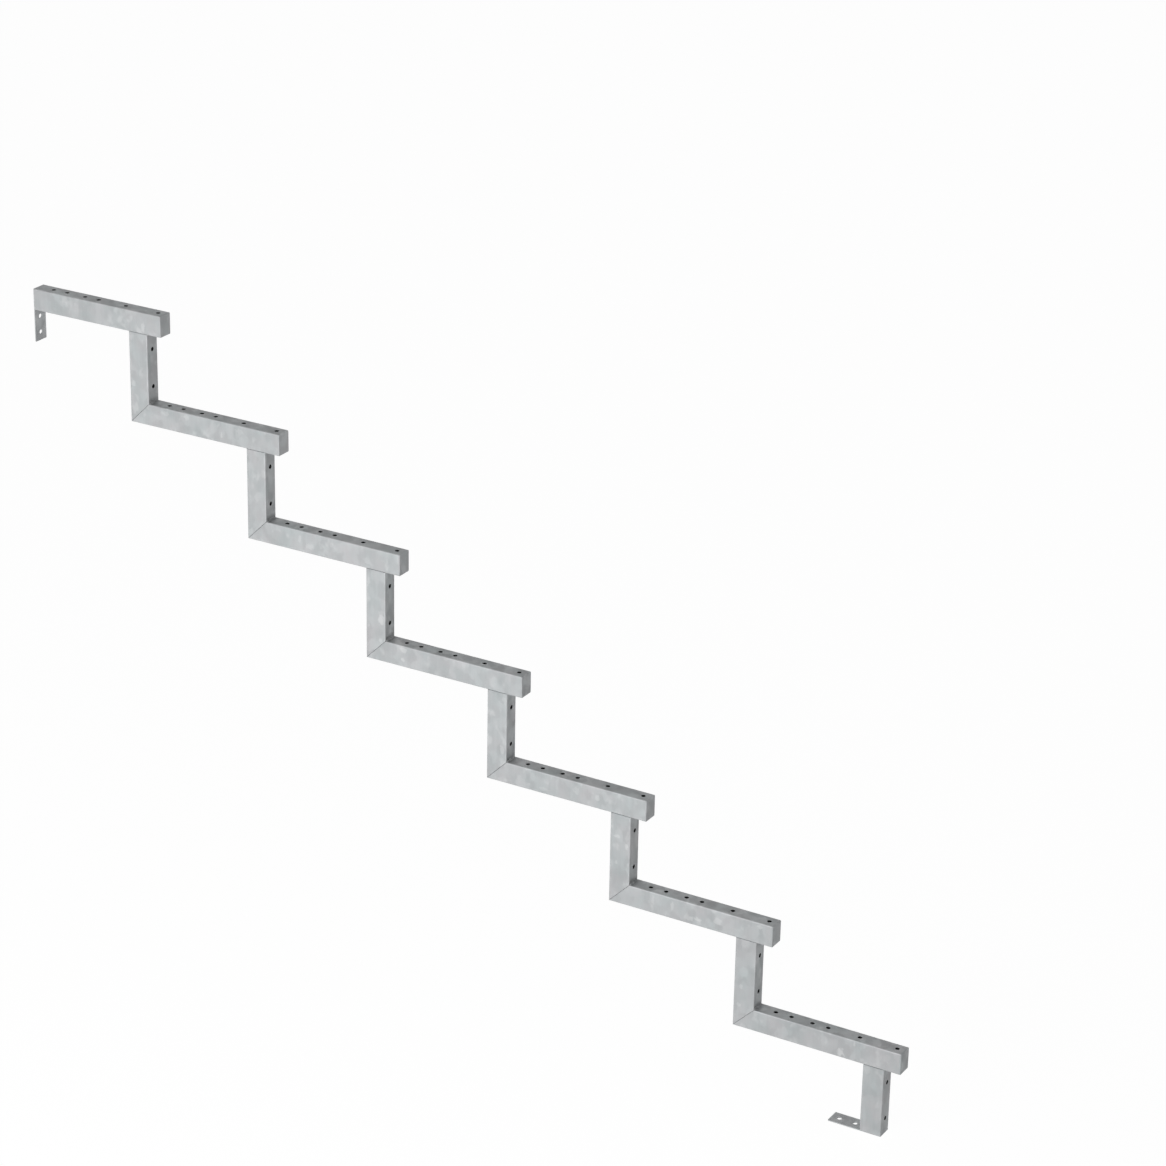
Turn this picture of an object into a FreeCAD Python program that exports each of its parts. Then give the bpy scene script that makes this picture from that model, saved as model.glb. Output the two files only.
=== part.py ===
"""Zig-zag stair stringer, welded from rectangular steel tube and galvanised.

The stair climbs towards -X and Z is up. Y = 0 is the middle plane of the stringer, and the
origin lies on the floor under the centre of the lowest riser. Sizes are in millimetres.
"""

import FreeCAD, Part
import os

from FreeCAD import Vector

# Pitch of the stair, with its steps counted from the floor up
STEP_COUNT = 7
RISE = 170.0
RUN = 250.0
NOSE_OVERHANG = 30.0

# Rectangular tube, with its deep side in the plane of the zig-zag
TUBE_DEEP = 40.0
TUBE_WIDE = 30.0
TUBE_WALL = 2.0
TUBE_CORNER = 2.0
BORE_CORNER_MIN = 0.5
SEAM_BEVEL = 0.5

# Plates that close the open tube ends, with the rounding of their outer rims
CAP_THICK = 3.0
CAP_ROUND = 1.5
LUG_THICK = 2.0
LUG_ROUND = 0.5
LUG_CORNER = 1.0

# Anchor holes in the lugs, which stand clear of the tube they close
LUG_HOLE = 8.5
LUG_HOLE_EDGE = 15.0
LUG_HOLE_SPACING = 30.0

# Screw holes for the boards, drilled through both walls of a tube
SCREW_HOLE = 8.0
SCREW_SPACING = 70.0
FRONT_SCREW_EDGE = 15.0
REAR_SCREW_EDGE = 35.0
RISER_BOARD_ROOM = 30.0

# How far every cutting solid reaches past what it cuts
CUT_MARGIN = 5.0

LUG_LENGTH = LUG_HOLE_SPACING + 2 * LUG_HOLE_EDGE
ALONG_X = Vector(1, 0, 0)
ALONG_Z = Vector(0, 0, 1)


def riser_front(step):
    """X of the front face of the riser that carries this step."""
    return TUBE_DEEP / 2 - (step - 1) * RUN


def riser_back(step):
    return riser_front(step) - TUBE_DEEP


def nose_end(step):
    return riser_front(step) + NOSE_OVERHANG


def tread_top(step):
    return step * RISE


def tread_under(step):
    return tread_top(step) - TUBE_DEEP


def wall_plane():
    """X of the wall, where the front of one more riser would be."""
    return riser_front(STEP_COUNT + 1)


def rounded_bar(low, high, axis, corner):
    """Box between two corner points, with the edges along its axis rounded."""
    size = high - low
    box = Part.makeBox(size.x, size.y, size.z, low)
    long_edges = [edge for edge in box.Edges if abs(edge.tangentAt(edge.FirstParameter).dot(axis)) > 0.5]
    return box.makeFillet(corner, long_edges)


def tube_bars(low, high, axis):
    """Outside of a tube between two corner points, and its bore, which runs past both ends."""
    wall = Vector(TUBE_WALL, TUBE_WALL, TUBE_WALL)
    shrink = wall - axis * (TUBE_WALL + CUT_MARGIN)
    bore_corner = max(TUBE_CORNER - TUBE_WALL, BORE_CORNER_MIN)
    outside = rounded_bar(low, high, axis, TUBE_CORNER)
    bore = rounded_bar(low + shrink, high - shrink, axis, bore_corner)
    return outside, bore


def rounded_rim(plate, outward, radius):
    """Plate with the rim of the face that looks outward rounded over."""
    face = next(face for face in plate.Faces if face.normalAt(0, 0).dot(outward) > 0.999)
    return plate.makeFillet(radius, face.OuterWire.Edges)


def mitred(bar, step, keep_tread):
    """Cut a bar where this step's tread meets the riser behind it, and bevel the cut's rim."""
    outer_x = riser_back(step + 1) - CUT_MARGIN
    outer_z = tread_under(step) - CUT_MARGIN
    reach = TUBE_DEEP + 2 * CUT_MARGIN
    side = -TUBE_WIDE / 2 - CUT_MARGIN
    outer = Vector(outer_x, side, outer_z)
    inner = outer + Vector(reach, 0, reach)
    third = outer + (Vector(0, 0, reach) if keep_tread else Vector(reach, 0, 0))
    wedge = Part.Face(Part.makePolygon([outer, inner, third, outer]))
    cut = bar.cut(wedge.extrude(Vector(0, TUBE_WIDE + 2 * CUT_MARGIN, 0)))
    slope = Vector(-1, 0, 1).normalize()
    sloped = [face for face in cut.Faces if abs(face.normalAt(0, 0).dot(slope)) > 0.999]
    rim = sloped[0].OuterWire.Edges
    return cut.makeChamfer(SEAM_BEVEL, rim)


def screw_pair(middle):
    """Places of the two screws of one board, from the place of the board's middle."""
    return [middle - SCREW_SPACING / 2, middle + SCREW_SPACING / 2]


def tread_screws(step):
    """X of the screws of the front board, and of the rear board with and without a riser board."""
    front = nose_end(step) - FRONT_SCREW_EDGE - SCREW_SPACING / 2
    rear = riser_front(step + 1) + REAR_SCREW_EDGE + SCREW_SPACING / 2
    return screw_pair(front) + screw_pair(rear) + screw_pair(rear + RISER_BOARD_ROOM)


def riser_screws(step):
    """Z of the screws of the riser board, centred between the tread below and this one."""
    return screw_pair((tread_top(step - 1) + tread_under(step)) / 2)


def tread_tube(step):
    """Level tube from the mitre, or from the wall at the top, to the cap on its nose."""
    is_top = step == STEP_COUNT
    back = wall_plane() + LUG_THICK if is_top else riser_back(step + 1)
    low = Vector(back, -TUBE_WIDE / 2, tread_under(step))
    high = Vector(nose_end(step) - CAP_THICK, TUBE_WIDE / 2, tread_top(step))
    outside, bore = tube_bars(low, high, ALONG_X)
    if not is_top:
        outside = mitred(outside, step, keep_tread=True)
    start = tread_under(step) - CUT_MARGIN
    drills = [
        Part.makeCylinder(SCREW_HOLE / 2, TUBE_DEEP + 2 * CUT_MARGIN, Vector(x, 0, start), ALONG_Z)
        for x in tread_screws(step)
    ]
    return outside.cut([bore] + drills)


def riser_tube(step):
    """Upright tube from the mitre, or from the foot plate, to the underside of its tread."""
    is_lowest = step == 1
    foot = LUG_THICK if is_lowest else tread_under(step - 1)
    low = Vector(riser_back(step), -TUBE_WIDE / 2, foot)
    high = Vector(riser_front(step), TUBE_WIDE / 2, tread_under(step))
    outside, bore = tube_bars(low, high, ALONG_Z)
    if not is_lowest:
        outside = mitred(outside, step - 1, keep_tread=False)
    start = riser_back(step) - CUT_MARGIN
    drills = [
        Part.makeCylinder(SCREW_HOLE / 2, TUBE_DEEP + 2 * CUT_MARGIN, Vector(start, 0, z), ALONG_X)
        for z in riser_screws(step)
    ]
    return outside.cut([bore] + drills)


def nose_cap(step):
    """Plate with the tube's own outline, welded on the front end of a tread."""
    low = Vector(nose_end(step) - CAP_THICK, -TUBE_WIDE / 2, tread_under(step))
    high = Vector(nose_end(step), TUBE_WIDE / 2, tread_top(step))
    return rounded_rim(rounded_bar(low, high, ALONG_X, TUBE_CORNER), ALONG_X, CAP_ROUND)


def lug_holes():
    """Distances of the anchor holes from the tube that the lug closes."""
    return [LUG_HOLE_EDGE, LUG_HOLE_EDGE + LUG_HOLE_SPACING]


def wall_plate():
    """Plate on the back end of the top tread, hanging down the wall as a lug."""
    tube_under = tread_under(STEP_COUNT)
    low = Vector(wall_plane(), -TUBE_WIDE / 2, tube_under - LUG_LENGTH)
    high = Vector(wall_plane() + LUG_THICK, TUBE_WIDE / 2, tread_top(STEP_COUNT))
    plate = rounded_rim(rounded_bar(low, high, ALONG_X, LUG_CORNER), -ALONG_X, LUG_ROUND)
    start = wall_plane() - CUT_MARGIN
    drills = [
        Part.makeCylinder(
            LUG_HOLE / 2, LUG_THICK + 2 * CUT_MARGIN, Vector(start, 0, tube_under - down), ALONG_X
        )
        for down in lug_holes()
    ]
    return plate.cut(drills)


def foot_plate():
    """Plate under the lowest riser, running back along the floor as a lug."""
    tube_back = riser_back(1)
    low = Vector(tube_back - LUG_LENGTH, -TUBE_WIDE / 2, 0)
    high = Vector(riser_front(1), TUBE_WIDE / 2, LUG_THICK)
    plate = rounded_rim(rounded_bar(low, high, ALONG_Z, LUG_CORNER), -ALONG_Z, LUG_ROUND)
    drills = [
        Part.makeCylinder(
            LUG_HOLE / 2, LUG_THICK + 2 * CUT_MARGIN, Vector(tube_back - back, 0, -CUT_MARGIN), ALONG_Z
        )
        for back in lug_holes()
    ]
    return plate.cut(drills)


def build():
    """Every piece of the stringer under its own name."""
    pieces = {"wall_plate": wall_plate(), "foot_plate": foot_plate()}
    for step in range(1, STEP_COUNT + 1):
        pieces[f"tread_tube_{step}"] = tread_tube(step)
        pieces[f"riser_tube_{step}"] = riser_tube(step)
        pieces[f"nose_cap_{step}"] = nose_cap(step)
    return pieces


os.makedirs("parts", exist_ok=True)
for name, shape in build().items():
    shape.exportStep(f"parts/{name}.step")
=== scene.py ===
"""Galvanised stair stringer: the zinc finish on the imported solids, the weld beads, the stage and the camera.

Sizes are in metres. The stair climbs towards -X, Z is up and Y runs across the tube.
"""

import math

import bpy
from mathutils import Matrix, Vector


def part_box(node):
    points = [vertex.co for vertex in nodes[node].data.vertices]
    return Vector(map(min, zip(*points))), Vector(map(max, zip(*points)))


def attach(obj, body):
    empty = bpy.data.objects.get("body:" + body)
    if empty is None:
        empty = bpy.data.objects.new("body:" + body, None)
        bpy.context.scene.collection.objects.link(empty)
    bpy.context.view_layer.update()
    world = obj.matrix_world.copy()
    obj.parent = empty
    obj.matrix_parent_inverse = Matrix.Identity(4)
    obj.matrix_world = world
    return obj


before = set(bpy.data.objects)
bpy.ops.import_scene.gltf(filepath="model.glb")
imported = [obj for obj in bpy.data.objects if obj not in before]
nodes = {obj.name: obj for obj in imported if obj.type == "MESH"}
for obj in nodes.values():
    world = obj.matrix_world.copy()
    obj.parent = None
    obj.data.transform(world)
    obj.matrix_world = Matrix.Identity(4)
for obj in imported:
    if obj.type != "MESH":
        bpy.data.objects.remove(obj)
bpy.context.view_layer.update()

# Camera, as fitted to the edges of the stringer in a square picture
PICTURE_SIDE = 1166
FOCAL_PIXELS = 3670.1
SENSOR_WIDTH = 36.0
CAMERA_AZIMUTH = math.radians(29.895)
CAMERA_ELEVATION = math.radians(23.077)
CAMERA_ROLL = math.radians(1.151)
CAMERA_TARGET = Vector((-0.58374, -0.01490, 0.88277))
CAMERA_DISTANCE = 6.159

# Floor: its size, the colour that it throws on the object, how much light and shadow it shows, its white
FLOOR_SIDE = 60.0
FLOOR_COLOUR = (0.75, 0.75, 0.75, 1.0)
FLOOR_SHADE = (0.08, 0.08, 0.08, 1.0)
FLOOR_WHITE = 0.973

# World: the white that is seen behind, and the even light from all round
WHITE = (1.0, 1.0, 1.0, 1.0)
BACKDROP_STRENGTH = 0.982
AMBIENT_STRENGTH = 0.103

# Soft lamp in front, level with the stringer: place, aim, width, height and power
KEY_PLACE = Vector((-1.0, -3.8, 0.85))
KEY_AIM = Vector((-0.9, 0.0, 0.80))
KEY_WIDE = 3.2
KEY_HIGH = 1.4
KEY_POWER = 94.8

# Weak low light from behind: where it comes from, how broad it is and its strength
FILL_FROM = Vector((0.15, 1.0, 0.0))
FILL_ANGLE = math.radians(30.0)
FILL_STRENGTH = 0.65

# Sizes of the marks in the zinc, and how much longer upright than across the draining bath left them
GRAIN_SIZE = 0.013
GRAIN_SOFTNESS = 0.35
GRAIN_FEATHERING = 0.014
CLOUD_SIZE = 0.09
TINT_SIZE = 0.035
SMUDGE_SIZE = 0.0095
SMUDGE_SHARE = 0.155
STREAK_WIDTH = 0.005
STREAK_LENGTH = 0.05
DRAWN_OUT = 1.4

# How finely a grain is feathered and frosted, and how smudges stand out of their noise
FEATHERS_PER_GRAIN = 1.3
FROST_PER_GRAIN = 7.0
SMUDGE_PEAK = 0.72
SMUDGE_FADE = 0.16
SMUDGE_WAVES = 0.5

# Larger pale marks on the near sides of the tubes, as they are seen: how far from the tube's back and from
# its underside, how wide, how high, and how pale as a share
PALE_MARKS = {
    "tread_tube_7": [
        (0.066, 0.025, 0.024, 0.016, 0.22),
        (0.198, 0.009, 0.012, 0.012, 0.28),
        (0.240, 0.012, 0.010, 0.020, 0.42),
    ],
    "tread_tube_6": [
        (0.075, 0.030, 0.020, 0.012, 0.26),
        (0.122, 0.032, 0.014, 0.014, 0.30),
        (0.197, 0.015, 0.006, 0.012, 0.36),
        (0.235, 0.029, 0.022, 0.016, 0.24),
    ],
    "tread_tube_5": [
        (0.111, 0.025, 0.008, 0.020, 0.28),
        (0.132, 0.014, 0.026, 0.012, 0.26),
        (0.177, 0.028, 0.010, 0.014, 0.24),
    ],
    "tread_tube_4": [
        (0.077, 0.033, 0.020, 0.013, 0.44),
        (0.076, 0.014, 0.013, 0.010, 0.48),
    ],
    "tread_tube_3": [
        (0.116, 0.009, 0.026, 0.009, 0.22),
        (0.182, 0.024, 0.012, 0.020, 0.28),
        (0.223, 0.021, 0.013, 0.013, 0.36),
    ],
    "tread_tube_2": [
        (0.087, 0.025, 0.009, 0.024, 0.28),
        (0.125, 0.025, 0.008, 0.024, 0.30),
        (0.163, 0.012, 0.009, 0.012, 0.40),
        (0.175, 0.013, 0.018, 0.009, 0.40),
        (0.214, 0.021, 0.020, 0.018, 0.32),
        (0.295, 0.033, 0.012, 0.009, 0.40),
    ],
    "tread_tube_1": [
        (0.043, 0.033, 0.012, 0.011, 0.30),
        (0.207, 0.009, 0.018, 0.020, 0.58),
        (0.232, 0.033, 0.006, 0.013, 0.36),
    ],
    "riser_tube_7": [
        (0.008, 0.073, 0.013, 0.015, 0.32),
    ],
    "riser_tube_5": [
        (0.031, 0.079, 0.016, 0.025, 0.55),
        (0.030, 0.039, 0.011, 0.015, 0.36),
    ],
    "riser_tube_4": [
        (0.031, 0.061, 0.010, 0.022, 0.40),
        (0.010, 0.128, 0.015, 0.017, 0.30),
    ],
    "riser_tube_3": [
        (0.033, 0.113, 0.009, 0.017, 0.36),
        (0.013, 0.128, 0.022, 0.008, 0.36),
        (0.014, 0.078, 0.006, 0.009, 0.30),
    ],
    "riser_tube_2": [
        (0.010, 0.042, 0.010, 0.010, 0.30),
        (0.014, 0.078, 0.010, 0.013, 0.26),
    ],
}

# How deep a mark reaches round an edge, what share of it is fully pale, and how its rim is frayed
MARK_DEPTH = 0.004
MARK_FULL = 0.5
MARK_WAVES = 150.0
MARK_RAGGED = 1.6

# Character of each noise, and of the plain one used for ragged rims, skin and lumps
FEATHER_NOISE = {"Detail": 3.0, "Roughness": 0.6}
CLOUD_NOISE = {"Detail": 2.0, "Roughness": 0.5}
TINT_NOISE = {"Detail": 3.0, "Roughness": 0.55}
SMUDGE_NOISE = {"Detail": 2.0, "Roughness": 0.5, "Distortion": 0.15}
STREAK_NOISE = {"Detail": 2.0, "Roughness": 0.6}
PLAIN_NOISE = {"Detail": 2.0}

# Middle of a noise, the range that most of it lies in, and a shift that makes a second noise of it
NOISE_MIDDLE = (0.5, 0.5, 0.5)
NOISE_LOW = 0.3
NOISE_HIGH = 0.7
TINT_SHIFT = (3.1, 1.7, 5.3)

# Zinc tones: dark and light grains, cool and warm patches, rubbed smudges, dull weld metal, stain and painted
# shade round the welds, painted shade in the unlit hollows
ZINC_DARK = (0.430, 0.443, 0.450, 1.0)
ZINC_LIGHT = (0.587, 0.604, 0.612, 1.0)
ZINC_COOL = (0.455, 0.511, 0.518, 1.0)
ZINC_WARM = (0.545, 0.533, 0.547, 1.0)
ZINC_BRIGHT = (0.760, 0.770, 0.775, 1.0)
WELD_DARK = (0.335, 0.345, 0.350, 1.0)
WELD_LIGHT = (0.490, 0.502, 0.508, 1.0)
WELD_STAIN_AND_SHADE = (0.265, 0.272, 0.277, 1.0)
PAINTED_RECESS_SHADE = (0.030, 0.031, 0.032, 1.0)

# How far each kind of mark pulls the zinc from its dark tone to its light one, and shares of the other tones
TONE_BASE = -0.46
CLOUD_PULL = 0.60
GRAIN_PULL = 0.52
STREAK_PULL = 0.66
FROST_PULL = 0.15
TINT_SHARE = 0.44
SMUDGE_STRENGTH = 0.32
EDGE_STRENGTH = 0.2

# Lowest and highest roughness and metallic share, and the roughness that a hollow adds
ZINC_ROUGHNESS = (0.48, 0.64)
ZINC_METALLIC = (0.24, 0.40)
WELD_ROUGHNESS = (0.62, 0.76)
WELD_METALLIC = (0.08, 0.20)
HOLLOW_ROUGHER = 0.3

# Fine unevenness of the zinc skin: waves to a metre, share of the frost, strength and height
SKIN_WAVES = 420.0
SKIN_FROST = 0.35
SKIN_STRENGTH = 0.12
SKIN_HEIGHT = 0.0006

# Tube corner radius as the solids have it, and how wide an edge is rubbed bright
TUBE_CORNER = 0.002
EDGE_WIDTH = 2 * TUBE_CORNER

# How deep under the skin a hole or a seam starts to darken with painted shade and is fully dark, and how
# unevenly
DARK_FROM = 0.00005
DARK_FULL = 0.00055
DARK_WAVES = 130.0
DARK_UNEVENNESS = 1.2

# Dull stain and painted shade in the zinc round a weld, in its inner corner: where it starts to fade and ends,
# its ragged rim and its strength
STAIN_AND_SHADE_FULL = 0.0045
STAIN_AND_SHADE_END = 0.0115
STAIN_AND_SHADE_WAVES = 260.0
STAIN_AND_SHADE_RAGGED = 0.002
STAIN_AND_SHADE_STRENGTH = 0.42

# How far in from a tube's flat side the stain and painted shade start and are full
STAIN_AND_SHADE_CLEAR = 0.0002
STAIN_AND_SHADE_INSET = 0.0012

# Weld beads across the inner corners, where a riser stands on the tread below it
WELD_LEG = 0.0034
WELD_LENGTH = 0.0265
WELD_FLATNESS = 0.26
WELD_RIPPLE = 0.0016
WELD_RIPPLE_DEPTH = 0.12
WELD_END_TAPER = 0.0032
WELD_END_DROP = 0.98
WELD_LUMP = 0.0006
WELD_LUMP_SIZE = 0.004
WELD_SINK = 0.0003
WELD_ARC_POINTS = 9
WELD_POINTS_PER_RIPPLE = 5

# Zinc on the beads: size, softness and feathering of its grains, strength and height of its bumps
WELD_GRAIN_SIZE = 0.004
WELD_GRAIN_SOFTNESS = 0.4
WELD_GRAIN_FEATHERING = 0.003
WELD_BUMP_STRENGTH = 0.3
WELD_BUMP_HEIGHT = 0.0004

# Shift of the zinc's marks from one piece to the next, so that no two pieces look alike
PIECE_SHIFT = Vector((0.37, 0.61, 0.23))

# Sockets of a mix of colours by number, because the node has several of each name
MIX_SHARE = 0
MIX_FIRST = 6
MIX_SECOND = 7
MIX_RESULT = 2

ORIGIN = (0.0, 0.0, 0.0)


def feed(tree, socket, value):
    """Give an input a plain value, or join it to the socket that gives its value."""
    if isinstance(value, bpy.types.NodeSocket):
        tree.links.new(value, socket)
    else:
        socket.default_value = value


def add_node(tree, kind, inputs=None, **settings):
    """A node of this kind with its settings, and its inputs as plain values or sockets."""
    node = tree.nodes.new(kind)
    for key, value in settings.items():
        setattr(node, key, value)
    for key, value in (inputs or {}).items():
        feed(tree, node.inputs[key], value)
    return node


def math_node(tree, operation, *values):
    """Result of a sum, product or other operation on numbers."""
    return add_node(tree, "ShaderNodeMath", dict(enumerate(values)), operation=operation).outputs[0]


def vector_node(tree, operation, *values):
    """Result of an operation on vectors, which is a number if it is a length."""
    node = add_node(tree, "ShaderNodeVectorMath", dict(enumerate(values)), operation=operation)
    return node.outputs["Value" if operation == "LENGTH" else "Vector"]


def scaled(tree, vector, scale):
    """Vector times a number."""
    inputs = {"Vector": vector, "Scale": scale}
    return add_node(tree, "ShaderNodeVectorMath", inputs, operation="SCALE").outputs["Vector"]


def split(tree, vector):
    """X, Y and Z of a vector, by name."""
    return add_node(tree, "ShaderNodeSeparateXYZ", {"Vector": vector}).outputs


def noise(tree, vector, scale, character):
    """Noise of this character at these coordinates, as its Fac and Color outputs."""
    return add_node(tree, "ShaderNodeTexNoise", {"Vector": vector, "Scale": scale, **character}).outputs


def faded(tree, value, start, full):
    """Value as a mask that rises smoothly from 0 at start to 1 at full."""
    inputs = {"Value": value, "From Min": start, "From Max": full}
    node = add_node(tree, "ShaderNodeMapRange", inputs, interpolation_type="SMOOTHSTEP")
    return node.outputs["Result"]


def ranged(tree, value, low, high):
    """Value between 0 and 1 stretched from low to high."""
    return math_node(tree, "MULTIPLY_ADD", value, high - low, low)


def mix_colour(tree, share, first, second):
    """Colour that lies this share of the way from the first to the second."""
    inputs = {MIX_SHARE: share, MIX_FIRST: first, MIX_SECOND: second}
    return add_node(tree, "ShaderNodeMix", inputs, data_type="RGBA").outputs[MIX_RESULT]


def new_group(name, inputs, outputs):
    """Empty shader group, with named inputs at their usual values and named values to put out."""
    tree = bpy.data.node_groups.new(name, "ShaderNodeTree")
    for label, value in inputs.items():
        kind = "NodeSocketVector" if isinstance(value, tuple) else "NodeSocketFloat"
        tree.interface.new_socket(label, in_out="INPUT", socket_type=kind).default_value = value
    for label in outputs:
        tree.interface.new_socket(label, in_out="OUTPUT", socket_type="NodeSocketFloat")
    return tree, tree.nodes.new("NodeGroupInput").outputs, tree.nodes.new("NodeGroupOutput").inputs


def spangle_group():
    """Zinc crystals: soft-edged grains of random shade and tint, with a fine frost inside them."""
    tree, given, result = new_group(
        "zinc_spangle",
        {
            "Vector": ORIGIN,
            "Grain Size": GRAIN_SIZE,
            "Softness": GRAIN_SOFTNESS,
            "Feathering": GRAIN_FEATHERING,
        },
        ["Shade", "Tint", "Frost"],
    )
    scale = math_node(tree, "DIVIDE", 1.0, given["Grain Size"])
    feather_scale = math_node(tree, "MULTIPLY", scale, FEATHERS_PER_GRAIN)
    feathers = noise(tree, given["Vector"], feather_scale, FEATHER_NOISE)["Color"]
    shift = scaled(tree, vector_node(tree, "SUBTRACT", feathers, NOISE_MIDDLE), given["Feathering"])
    warped = vector_node(tree, "ADD", given["Vector"], shift)
    grain_inputs = {"Vector": warped, "Scale": scale, "Smoothness": given["Softness"]}
    grains = add_node(tree, "ShaderNodeTexVoronoi", grain_inputs, feature="SMOOTH_F1")
    parts = add_node(tree, "ShaderNodeSeparateColor", {"Color": grains.outputs["Color"]}).outputs
    frost_inputs = {"Vector": warped, "Scale": math_node(tree, "MULTIPLY", scale, FROST_PER_GRAIN)}
    frost = add_node(tree, "ShaderNodeTexVoronoi", frost_inputs, feature="F1")
    feed(tree, result["Shade"], parts["Red"])
    feed(tree, result["Tint"], parts["Green"])
    feed(tree, result["Frost"], frost.outputs["Distance"])
    return tree


def cloud_group():
    """Slow drift of the zinc's tone and tint, and the few bright smudges where it ran or was rubbed."""
    tree, given, result = new_group(
        "zinc_cloud",
        {
            "Vector": ORIGIN,
            "Cloud Size": CLOUD_SIZE,
            "Tint Size": TINT_SIZE,
            "Smudge Size": SMUDGE_SIZE,
            "Smudge Share": SMUDGE_SHARE,
        },
        ["Cloud", "Warmth", "Smudge"],
    )
    place = given["Vector"]
    cloud_scale = math_node(tree, "DIVIDE", 1.0, given["Cloud Size"])
    drift = noise(tree, place, cloud_scale, CLOUD_NOISE)["Fac"]
    aside = add_node(tree, "ShaderNodeMapping", {"Vector": place, "Location": TINT_SHIFT}).outputs["Vector"]
    tint_scale = math_node(tree, "DIVIDE", 1.0, given["Tint Size"])
    tint = noise(tree, aside, tint_scale, TINT_NOISE)["Fac"]
    warmth_inputs = {"Value": tint, "From Min": NOISE_LOW, "From Max": NOISE_HIGH}
    warmth = add_node(tree, "ShaderNodeMapRange", warmth_inputs).outputs["Result"]
    spot_scale = math_node(tree, "DIVIDE", SMUDGE_WAVES, given["Smudge Size"])
    spots = noise(tree, place, spot_scale, SMUDGE_NOISE)["Fac"]
    start = math_node(tree, "SUBTRACT", SMUDGE_PEAK, given["Smudge Share"])
    full = math_node(tree, "ADD", start, SMUDGE_FADE)
    feed(tree, result["Cloud"], drift)
    feed(tree, result["Warmth"], warmth)
    feed(tree, result["Smudge"], faded(tree, spots, start, full))
    return tree


def mark_group():
    """Mask of one pale mark with a ragged rim."""
    tree, given, result = new_group(
        "zinc_mark",
        {
            "Vector": ORIGIN,
            "Centre": ORIGIN,
            "Half Size": (MARK_DEPTH, MARK_DEPTH, MARK_DEPTH),
            "Ragged": MARK_RAGGED,
        },
        ["Mark"],
    )
    offset = vector_node(tree, "SUBTRACT", given["Vector"], given["Centre"])
    away = vector_node(tree, "DIVIDE", offset, given["Half Size"])
    waves = noise(tree, given["Vector"], MARK_WAVES, PLAIN_NOISE)["Color"]
    ragged = scaled(tree, vector_node(tree, "SUBTRACT", waves, NOISE_MIDDLE), given["Ragged"])
    distance = vector_node(tree, "LENGTH", vector_node(tree, "ADD", away, ragged))
    feed(tree, result["Mark"], faded(tree, distance, 1.0, MARK_FULL))
    return tree


def streak_group():
    """Fine upright streaks, as molten zinc leaves them when it drains."""
    tree, given, result = new_group(
        "zinc_streak", {"Vector": ORIGIN, "Width": STREAK_WIDTH, "Length": STREAK_LENGTH}, ["Streak"]
    )
    across = math_node(tree, "DIVIDE", 1.0, given["Width"])
    along = math_node(tree, "DIVIDE", 1.0, given["Length"])
    scales = add_node(tree, "ShaderNodeCombineXYZ", {"X": across, "Y": across, "Z": along}).outputs["Vector"]
    drawn = vector_node(tree, "MULTIPLY", given["Vector"], scales)
    feed(tree, result["Streak"], noise(tree, drawn, 1.0, STREAK_NOISE)["Fac"])
    return tree


def from_centre(tree, given):
    """Distances from a piece's centre along X, Y and Z."""
    return vector_node(tree, "ABSOLUTE", vector_node(tree, "SUBTRACT", given["Vector"], given["Centre"]))


def recess_shade_group():
    """Mask of what lies under the skin of a rounded bar, where painted shade goes: hole walls, bores and seam
    grooves.
    """
    tree, given, result = new_group(
        "zinc_recess_shade",
        {
            "Vector": ORIGIN,
            "Centre": ORIGIN,
            "Half Size": ORIGIN,
            "Corner": TUBE_CORNER,
            "Dark From": DARK_FROM,
            "Dark Full": DARK_FULL,
        },
        ["Depth"],
    )
    core = vector_node(tree, "SUBTRACT", given["Half Size"], given["Corner"])
    past_core = vector_node(tree, "SUBTRACT", from_centre(tree, given), core)
    outside = vector_node(tree, "LENGTH", vector_node(tree, "MAXIMUM", past_core, ORIGIN))
    sides = split(tree, past_core)
    nearest = math_node(tree, "MAXIMUM", math_node(tree, "MAXIMUM", sides["X"], sides["Y"]), sides["Z"])
    inside = math_node(tree, "MINIMUM", nearest, 0.0)
    depth = math_node(tree, "SUBTRACT", given["Corner"], math_node(tree, "ADD", outside, inside))
    ragged = noise(tree, given["Vector"], DARK_WAVES, PLAIN_NOISE)["Fac"]
    uneven = ranged(tree, ragged, 1.0 - DARK_UNEVENNESS, 1.0 + DARK_UNEVENNESS)
    uneven_depth = math_node(tree, "MULTIPLY", depth, uneven)
    feed(tree, result["Depth"], faded(tree, uneven_depth, given["Dark From"], given["Dark Full"]))
    return tree


def stain_and_shade_group():
    """Mask of the dull stained zinc and painted shade on both faces of an inner corner, which leaves the flat
    sides clean.
    """
    tree, given, result = new_group(
        "weld_stain_and_shade",
        {"Vector": ORIGIN, "Weld": ORIGIN, "Half Width": 0.0, "Full": STAIN_AND_SHADE_FULL, "End": STAIN_AND_SHADE_END},
        ["Stain"],
    )
    offset = split(tree, vector_node(tree, "SUBTRACT", given["Vector"], given["Weld"]))
    across = add_node(tree, "ShaderNodeCombineXYZ", {"X": offset["X"], "Z": offset["Z"]}).outputs["Vector"]
    ragged = noise(tree, given["Vector"], STAIN_AND_SHADE_WAVES, PLAIN_NOISE)["Fac"]
    uneven = ranged(tree, ragged, -STAIN_AND_SHADE_RAGGED, STAIN_AND_SHADE_RAGGED)
    away = math_node(tree, "ADD", vector_node(tree, "LENGTH", across), uneven)
    near_weld = faded(tree, away, given["End"], given["Full"])
    inset = math_node(tree, "SUBTRACT", given["Half Width"], math_node(tree, "ABSOLUTE", offset["Y"]))
    off_the_side = faded(tree, inset, STAIN_AND_SHADE_CLEAR, STAIN_AND_SHADE_INSET)
    feed(tree, result["Stain"], math_node(tree, "MULTIPLY", near_weld, off_the_side))
    return tree


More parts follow.
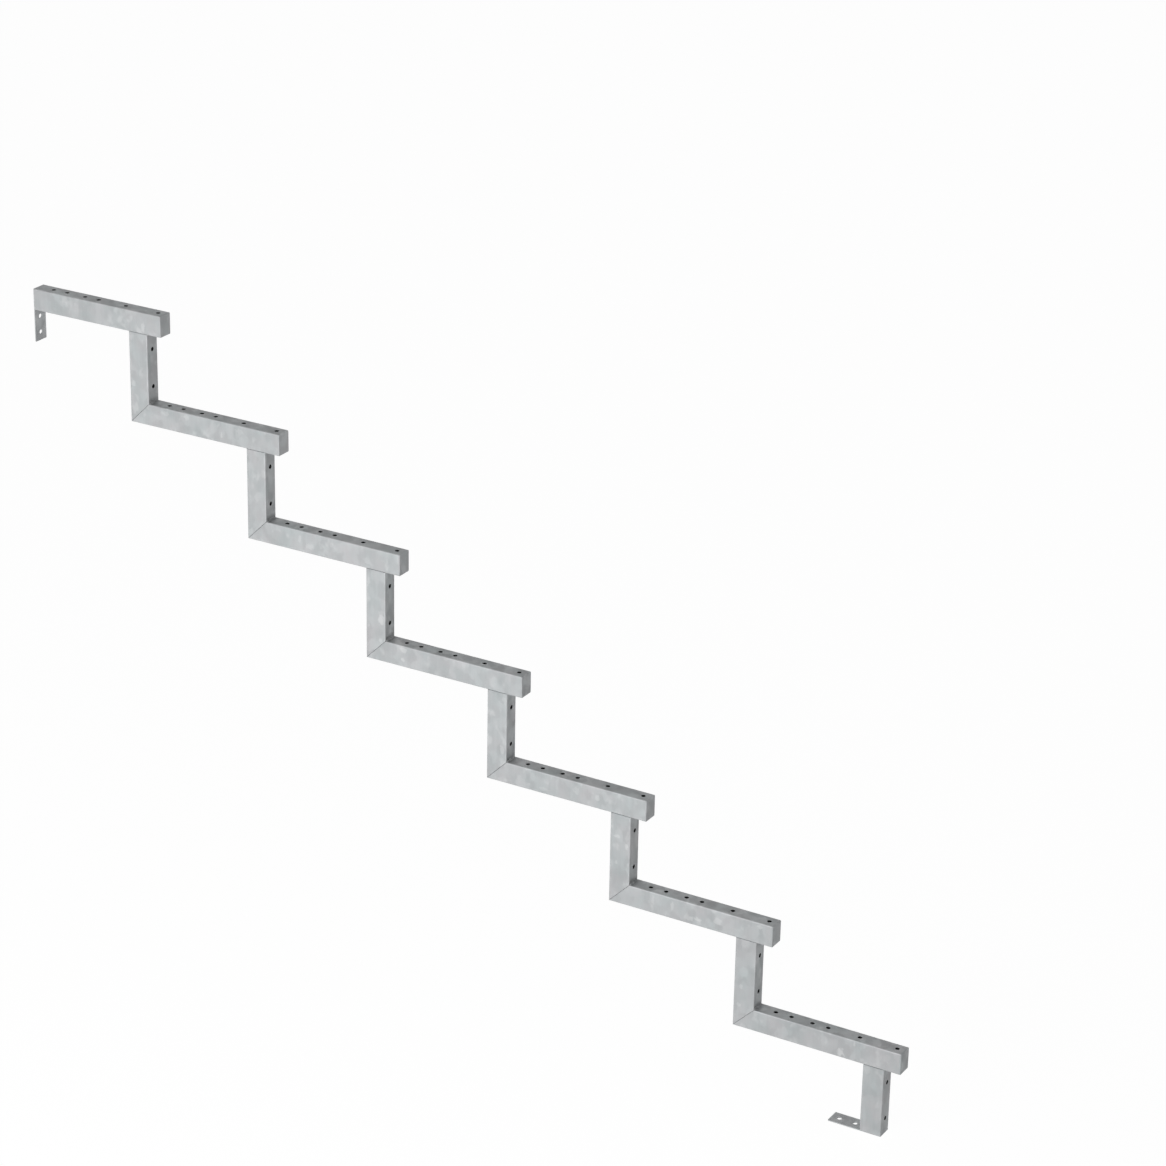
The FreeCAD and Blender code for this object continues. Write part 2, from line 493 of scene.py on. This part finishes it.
def corner_group():
    """Mask of a piece's edges, where two of its sides come close together."""
    tree, given, result = new_group(
        "zinc_corner",
        {"Vector": ORIGIN, "Centre": ORIGIN, "Half Size": ORIGIN, "Width": EDGE_WIDTH},
        ["Corner"],
    )
    inset = split(tree, vector_node(tree, "SUBTRACT", given["Half Size"], from_centre(tree, given)))
    near_x, near_y, near_z = [faded(tree, inset[axis], given["Width"], 0.0) for axis in "XYZ"]
    edges = [
        math_node(tree, "MULTIPLY", first, second)
        for first, second in ((near_x, near_y), (near_y, near_z), (near_z, near_x))
    ]
    widest = math_node(tree, "MAXIMUM", math_node(tree, "MAXIMUM", edges[0], edges[1]), edges[2])
    feed(tree, result["Corner"], widest)
    return tree


SPANGLE = spangle_group()
CLOUD = cloud_group()
MARK = mark_group()
STREAK = streak_group()
RECESS_SHADE = recess_shade_group()
STAIN_AND_SHADE = stain_and_shade_group()
CORNER = corner_group()


def new_material(name):
    """Empty node material and its tree."""
    material = bpy.data.materials.new(name)
    material.use_nodes = True
    tree = material.node_tree
    tree.nodes.clear()
    return material, tree


def object_place(tree):
    """Object coordinates, which the marks are placed by."""
    return add_node(tree, "ShaderNodeTexCoord").outputs["Object"]


def place_group(tree, group, vector, **values):
    """Outputs of a shared effect, placed in a material at these coordinates with its own values."""
    inputs = {label.replace("_", " "): value for label, value in values.items()}
    return add_node(tree, "ShaderNodeGroup", {"Vector": vector, **inputs}, node_tree=group).outputs


def bump_normal(tree, height, strength, distance):
    """Normal of a skin with this height over it."""
    inputs = {"Height": height, "Strength": strength, "Distance": distance}
    return add_node(tree, "ShaderNodeBump", inputs).outputs["Normal"]


def finish_shader(tree, colour, roughness, metallic, normal):
    """Principled shader with these sockets, joined to the output."""
    inputs = {"Base Color": colour, "Roughness": roughness, "Metallic": metallic, "Normal": normal}
    shader = add_node(tree, "ShaderNodeBsdfPrincipled", inputs)
    add_node(tree, "ShaderNodeOutputMaterial", {"Surface": shader.outputs["BSDF"]})


def zinc_colour(tree, spangle, cloud, streak):
    """Colour of clean zinc, from its grains, clouds, streaks, tint patches and smudges."""
    tone = math_node(tree, "MULTIPLY_ADD", cloud["Cloud"], CLOUD_PULL, TONE_BASE)
    for mark, pull in (
        (spangle["Shade"], GRAIN_PULL),
        (streak["Streak"], STREAK_PULL),
        (spangle["Frost"], FROST_PULL),
    ):
        tone = math_node(tree, "MULTIPLY_ADD", mark, pull, tone)
    colour = mix_colour(tree, tone, ZINC_DARK, ZINC_LIGHT)
    patch = mix_colour(tree, cloud["Warmth"], ZINC_COOL, ZINC_WARM)
    colour = mix_colour(tree, TINT_SHARE, colour, patch)
    smudge = math_node(tree, "MULTIPLY", cloud["Smudge"], SMUDGE_STRENGTH)
    return mix_colour(tree, smudge, colour, ZINC_BRIGHT)


def marked(tree, place, colour, low, marks):
    """Colour with a tube's larger pale marks on it, placed from the low corner of its near side."""
    for ahead, above, wide, high, pale in marks:
        centre = low + Vector((ahead, 0.0, above))
        half_size = Vector((wide / 2, MARK_DEPTH, high / 2))
        mark = place_group(tree, MARK, place, Centre=centre, Half_Size=half_size, Ragged=MARK_RAGGED)
        share = math_node(tree, "MULTIPLY", mark["Mark"], pale)
        colour = mix_colour(tree, share, colour, ZINC_BRIGHT)
    return colour


def galvanised(name, low, high, shift, hollow, weld, marks):
    """Hot-dip zinc for one piece: its box, the shift that gives it a look of its own, its weld and marks, with
    painted shade in its holes, bores and seams and round its weld.
    """
    material, tree = new_material(name)
    place = object_place(tree)
    mapping = {"Vector": place, "Location": shift, "Scale": (1.0, 1.0, 1.0 / DRAWN_OUT)}
    own = add_node(tree, "ShaderNodeMapping", mapping).outputs["Vector"]
    spangle = place_group(
        tree, SPANGLE, own, Grain_Size=GRAIN_SIZE, Softness=GRAIN_SOFTNESS, Feathering=GRAIN_FEATHERING
    )
    cloud = place_group(
        tree,
        CLOUD,
        own,
        Cloud_Size=CLOUD_SIZE,
        Tint_Size=TINT_SIZE,
        Smudge_Size=SMUDGE_SIZE,
        Smudge_Share=SMUDGE_SHARE,
    )
    streak = place_group(tree, STREAK, own, Width=STREAK_WIDTH, Length=STREAK_LENGTH)
    colour = marked(tree, place, zinc_colour(tree, spangle, cloud, streak), low, marks)
    roughness = ranged(tree, spangle["Tint"], *ZINC_ROUGHNESS)
    metallic = ranged(tree, spangle["Shade"], *ZINC_METALLIC)
    centre = (low + high) / 2
    half_size = (high - low) / 2

    # Stain and painted shade round the weld: the zinc in the inner corner is made darker and duller
    if weld:
        stain_and_shade = place_group(
            tree, STAIN_AND_SHADE, place, Weld=weld, Half_Width=half_size.y, Full=STAIN_AND_SHADE_FULL, End=STAIN_AND_SHADE_END
        )
        dull_and_shaded = math_node(tree, "MULTIPLY", stain_and_shade["Stain"], STAIN_AND_SHADE_STRENGTH)
        colour = mix_colour(tree, dull_and_shaded, colour, WELD_STAIN_AND_SHADE)
        metallic = math_node(tree, "MULTIPLY", metallic, math_node(tree, "SUBTRACT", 1.0, dull_and_shaded))

    if hollow:
        # Only the long edges are rubbed, so the box runs on past the tube's ends
        endless = Vector([2 * size if size == max(half_size) else size for size in half_size])
        corner = place_group(tree, CORNER, place, Centre=centre, Half_Size=endless, Width=EDGE_WIDTH)
        edge = math_node(tree, "MULTIPLY", corner["Corner"], EDGE_STRENGTH)
        colour = mix_colour(tree, edge, colour, ZINC_BRIGHT)
        # Painted shade: hole walls, bores, the tube's inside and the seam grooves are darkened towards near
        # black
        depth = place_group(
            tree,
            RECESS_SHADE,
            place,
            Centre=centre,
            Half_Size=half_size,
            Corner=TUBE_CORNER,
            Dark_From=DARK_FROM,
            Dark_Full=DARK_FULL,
        )
        colour = mix_colour(tree, depth["Depth"], colour, PAINTED_RECESS_SHADE)
        roughness = math_node(tree, "MULTIPLY_ADD", depth["Depth"], HOLLOW_ROUGHER, roughness)

    skin = noise(tree, own, SKIN_WAVES, PLAIN_NOISE)["Fac"]
    height = math_node(tree, "MULTIPLY_ADD", spangle["Frost"], SKIN_FROST, skin)
    normal = bump_normal(tree, height, SKIN_STRENGTH, SKIN_HEIGHT)
    finish_shader(tree, colour, roughness, metallic, normal)
    return material


def weld_zinc():
    """Zinc over weld metal, which comes out of the bath darker and duller."""
    material, tree = new_material("zinc_weld")
    place = object_place(tree)
    spangle = place_group(
        tree,
        SPANGLE,
        place,
        Grain_Size=WELD_GRAIN_SIZE,
        Softness=WELD_GRAIN_SOFTNESS,
        Feathering=WELD_GRAIN_FEATHERING,
    )
    colour = mix_colour(tree, spangle["Shade"], WELD_DARK, WELD_LIGHT)
    roughness = ranged(tree, spangle["Tint"], *WELD_ROUGHNESS)
    metallic = ranged(tree, spangle["Shade"], *WELD_METALLIC)
    normal = bump_normal(tree, spangle["Frost"], WELD_BUMP_STRENGTH, WELD_BUMP_HEIGHT)
    finish_shader(tree, colour, roughness, metallic, normal)
    return material


# Inner corner above each tread, where the next riser stands on it
STEP_COUNT = sum(name.startswith("riser_tube") for name in nodes)
inner_corners = {
    step: Vector((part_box(f"riser_tube_{step + 1}")[1].x, 0.0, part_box(f"tread_tube_{step}")[1].z))
    for step in range(1, STEP_COUNT)
}


def weld_of(name):
    """Inner corner that a tube shares with its neighbour, or nothing."""
    kind, _, step = name.rpartition("_")
    steps_below = {"tread_tube": 0, "riser_tube": 1}
    return inner_corners.get(int(step) - steps_below[kind]) if kind in steps_below else None


# Galvanised finish on every length of tube and plate
for index, name in enumerate(sorted(nodes)):
    box_low, box_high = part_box(name)
    zinc = galvanised(
        "zinc_" + name,
        box_low,
        box_high,
        shift=index * PIECE_SHIFT,
        hollow="tube" in name,
        weld=weld_of(name),
        marks=PALE_MARKS.get(name, []),
    )
    nodes[name].data.materials.clear()
    nodes[name].data.materials.append(zinc)


def weld_path(tree, given):
    """Straight path along Y, with a few points to each ripple of the bead."""
    half = math_node(tree, "MULTIPLY", given["Length"], 0.5)
    ends = {}
    for label, sign in (("Start", -1.0), ("End", 1.0)):
        reach = math_node(tree, "MULTIPLY", half, sign)
        ends[label] = add_node(tree, "ShaderNodeCombineXYZ", {"Y": reach}).outputs["Vector"]
    line = add_node(tree, "GeometryNodeCurvePrimitiveLine", ends).outputs["Curve"]
    ripples = math_node(tree, "DIVIDE", given["Length"], given["Ripple"])
    count = math_node(tree, "MULTIPLY", ripples, WELD_POINTS_PER_RIPPLE)
    return add_node(tree, "GeometryNodeResampleCurve", {"Curve": line, "Count": count}).outputs["Curve"]


def weld_thickness(tree, given):
    """Thickness along the path: a swelling at each ripple, and rounded ends."""
    along = add_node(tree, "GeometryNodeSplineParameter").outputs["Length"]
    phase = math_node(tree, "FRACT", math_node(tree, "DIVIDE", along, given["Ripple"]))
    groove = math_node(tree, "POWER", math_node(tree, "MULTIPLY_ADD", phase, 2.0, -1.0), 2.0)
    swell = math_node(tree, "SUBTRACT", 1.0, math_node(tree, "MULTIPLY", groove, given["Ripple Depth"]))
    left = math_node(tree, "SUBTRACT", given["Length"], along)
    near_end = math_node(tree, "DIVIDE", math_node(tree, "MINIMUM", along, left), given["End Taper"])
    short_of = math_node(tree, "SUBTRACT", 1.0, math_node(tree, "MINIMUM", near_end, 1.0))
    lost = math_node(tree, "MULTIPLY", math_node(tree, "POWER", short_of, 2.0), given["End Drop"])
    rounded = math_node(tree, "SQRT", math_node(tree, "SUBTRACT", 1.0, lost))
    return math_node(tree, "MULTIPLY", swell, rounded)


def weld_section(tree, given):
    """Quarter-round section in the corner, flattened towards a fillet."""
    arc_inputs = {
        "Resolution": WELD_ARC_POINTS,
        "Radius": given["Leg"],
        "Start Angle": -math.pi / 2,
        "Sweep Angle": math.pi / 2,
        "Connect Center": True,
    }
    arc = add_node(tree, "GeometryNodeCurveArc", arc_inputs).outputs["Curve"]
    spot = add_node(tree, "GeometryNodeInputPosition").outputs["Position"]
    parts = split(tree, spot)
    product = math_node(tree, "MULTIPLY", parts["X"], parts["Y"])
    square = math_node(tree, "MULTIPLY", given["Leg"], given["Leg"])
    lean = math_node(tree, "DIVIDE", math_node(tree, "MULTIPLY", product, 2.0), square)
    pull = math_node(tree, "MULTIPLY_ADD", lean, given["Flatness"], 1.0)
    moved = {"Geometry": arc, "Position": scaled(tree, spot, pull)}
    return add_node(tree, "GeometryNodeSetPosition", moved).outputs["Geometry"]


def made_lumpy(tree, given, beads):
    """Beads pushed in and out along their normals, every one in its own way."""
    spot = add_node(tree, "GeometryNodeInputPosition").outputs["Position"]
    lumps = noise(tree, spot, math_node(tree, "DIVIDE", 1.0, given["Lump Size"]), PLAIN_NOISE)["Fac"]
    push = math_node(tree, "MULTIPLY", math_node(tree, "SUBTRACT", lumps, NOISE_MIDDLE[0]), given["Lump"])
    outward = add_node(tree, "GeometryNodeInputNormal").outputs["Normal"]
    moved = {"Geometry": beads, "Offset": scaled(tree, outward, push)}
    return add_node(tree, "GeometryNodeSetPosition", moved).outputs["Geometry"]


def weld_tree():
    """Rippled beads along Y, one in each inner corner, stepping up with the stair."""
    tree = bpy.data.node_groups.new("corner_weld_beads", "GeometryNodeTree")
    kinds = {
        "First Corner": "NodeSocketVector",
        "Step Up": "NodeSocketVector",
        "Bead Count": "NodeSocketInt",
        "Leg": "NodeSocketFloat",
        "Length": "NodeSocketFloat",
        "Flatness": "NodeSocketFloat",
        "Ripple": "NodeSocketFloat",
        "Ripple Depth": "NodeSocketFloat",
        "End Taper": "NodeSocketFloat",
        "End Drop": "NodeSocketFloat",
        "Lump": "NodeSocketFloat",
        "Lump Size": "NodeSocketFloat",
        "Material": "NodeSocketMaterial",
    }
    for label, kind in kinds.items():
        tree.interface.new_socket(label, in_out="INPUT", socket_type=kind)
    tree.interface.new_socket("Geometry", in_out="OUTPUT", socket_type="NodeSocketGeometry")
    given = tree.nodes.new("NodeGroupInput").outputs
    result = tree.nodes.new("NodeGroupOutput").inputs

    bead_inputs = {
        "Curve": weld_path(tree, given),
        "Profile Curve": weld_section(tree, given),
        "Scale": weld_thickness(tree, given),
        "Fill Caps": True,
    }
    bead = add_node(tree, "GeometryNodeCurveToMesh", bead_inputs).outputs["Mesh"]
    corner_inputs = {
        "Count": given["Bead Count"],
        "Start Location": given["First Corner"],
        "Offset": given["Step Up"],
    }
    corners = add_node(tree, "GeometryNodeMeshLine", corner_inputs).outputs["Mesh"]
    copies = add_node(tree, "GeometryNodeInstanceOnPoints", {"Points": corners, "Instance": bead})
    real = add_node(tree, "GeometryNodeRealizeInstances", {"Geometry": copies.outputs["Instances"]})
    lumpy = made_lumpy(tree, given, real.outputs["Geometry"])
    smooth = add_node(tree, "GeometryNodeSetShadeSmooth", {"Geometry": lumpy}).outputs["Geometry"]
    finish = add_node(tree, "GeometryNodeSetMaterial", {"Geometry": smooth, "Material": given["Material"]})
    feed(tree, result["Geometry"], finish.outputs["Geometry"])
    return tree


def lay_welds():
    """Weld beads as one plain mesh on the stringer."""
    sizes = {
        "First Corner": inner_corners[1] - Vector((WELD_SINK, 0.0, WELD_SINK)),
        "Step Up": inner_corners[2] - inner_corners[1],
        "Bead Count": len(inner_corners),
        "Leg": WELD_LEG,
        "Length": WELD_LENGTH,
        "Flatness": WELD_FLATNESS,
        "Ripple": WELD_RIPPLE,
        "Ripple Depth": WELD_RIPPLE_DEPTH,
        "End Taper": WELD_END_TAPER,
        "End Drop": WELD_END_DROP,
        "Lump": WELD_LUMP,
        "Lump Size": WELD_LUMP_SIZE,
        "Material": weld_zinc(),
    }
    tree = weld_tree()
    welds = bpy.data.objects.new("corner_welds", bpy.data.meshes.new("corner_weld_seed"))
    bpy.context.scene.collection.objects.link(welds)
    modifier = welds.modifiers.new("beads", "NODES")
    modifier.node_group = tree
    for socket in tree.interface.items_tree:
        if socket.in_out == "INPUT":
            modifier[socket.identifier] = sizes[socket.name]
    shape = bpy.data.meshes.new_from_object(welds.evaluated_get(bpy.context.evaluated_depsgraph_get()))
    welds.modifiers.remove(modifier)
    # The seed's empty material slot comes first
    shape.materials.pop(index=0)
    welds.data = shape
    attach(welds, "root")


def seen_directly(tree):
    """1 for what the camera, a reflection or glass shows, and 0 for the light that falls on the object."""
    path = add_node(tree, "ShaderNodeLightPath").outputs
    shown = math_node(tree, "MAXIMUM", path["Is Camera Ray"], path["Is Glossy Ray"])
    return math_node(tree, "MAXIMUM", shown, path["Is Transmission Ray"])


def lay_floor():
    """Pale floor that is white to look at and keeps the shadow of the stringer."""
    half = FLOOR_SIDE / 2
    corners = [(-half, -half, 0.0), (half, -half, 0.0), (half, half, 0.0), (-half, half, 0.0)]
    mesh = bpy.data.meshes.new("floor")
    mesh.from_pydata(corners, [], [(0, 1, 2, 3)])
    floor = bpy.data.objects.new("floor", mesh)
    bpy.context.scene.collection.objects.link(floor)
    material, tree = new_material("pale_floor")
    material.cycles.emission_sampling = "NONE"
    shown = seen_directly(tree)
    colour = mix_colour(tree, shown, FLOOR_COLOUR, FLOOR_SHADE)
    matt = add_node(tree, "ShaderNodeBsdfDiffuse", {"Color": colour}).outputs["BSDF"]
    strength = math_node(tree, "MULTIPLY", shown, FLOOR_WHITE)
    glow = add_node(tree, "ShaderNodeEmission", {"Strength": strength}).outputs["Emission"]
    both = add_node(tree, "ShaderNodeAddShader", {0: matt, 1: glow}).outputs["Shader"]
    add_node(tree, "ShaderNodeOutputMaterial", {"Surface": both})
    mesh.materials.append(material)


def light_world():
    """Even light from all round, with a white backdrop behind."""
    world = bpy.data.worlds.new("studio")
    bpy.context.scene.world = world
    world.use_nodes = True
    tree = world.node_tree
    tree.nodes.clear()
    even, white = [
        add_node(tree, "ShaderNodeBackground", {"Color": WHITE, "Strength": strength}).outputs["Background"]
        for strength in (AMBIENT_STRENGTH, BACKDROP_STRENGTH)
    ]
    choice = add_node(tree, "ShaderNodeMixShader", {0: seen_directly(tree), 1: even, 2: white})
    add_node(tree, "ShaderNodeOutputWorld", {"Surface": choice.outputs["Shader"]})


def hang_light(name, kind, place, look, **settings):
    """Light of this kind at its place, looking this way."""
    light = bpy.data.lights.new(name, kind)
    for key, value in settings.items():
        setattr(light, key, value)
    holder = bpy.data.objects.new(name, light)
    holder.location = place
    holder.rotation_euler = look.to_track_quat("-Z", "Y").to_euler()
    bpy.context.scene.collection.objects.link(holder)


def set_camera():
    """Camera at the fitted angle, distance and focal length."""
    turn, lift = CAMERA_AZIMUTH, CAMERA_ELEVATION
    back = Vector((math.sin(turn) * math.cos(lift), -math.cos(turn) * math.cos(lift), math.sin(lift)))
    level_right = Vector((math.cos(turn), math.sin(turn), 0.0))
    level_up = back.cross(level_right)
    right = level_right * math.cos(CAMERA_ROLL) + level_up * math.sin(CAMERA_ROLL)
    up = back.cross(right)
    lens = bpy.data.cameras.new("camera")
    lens.sensor_width = SENSOR_WIDTH
    lens.lens = FOCAL_PIXELS / PICTURE_SIDE * SENSOR_WIDTH
    camera = bpy.data.objects.new("camera", lens)
    place = Matrix((right, up, back)).transposed().to_4x4()
    place.translation = CAMERA_TARGET + back * CAMERA_DISTANCE
    camera.matrix_world = place
    bpy.context.scene.collection.objects.link(camera)
    bpy.context.scene.camera = camera


lay_welds()
lay_floor()
light_world()
hang_light(
    "key_lamp",
    "AREA",
    KEY_PLACE,
    KEY_AIM - KEY_PLACE,
    shape="RECTANGLE",
    size=KEY_WIDE,
    size_y=KEY_HIGH,
    energy=KEY_POWER,
)
hang_light("fill_light", "SUN", ORIGIN, -FILL_FROM, angle=FILL_ANGLE, energy=FILL_STRENGTH)
set_camera()
bpy.context.scene.view_settings.view_transform = "Standard"
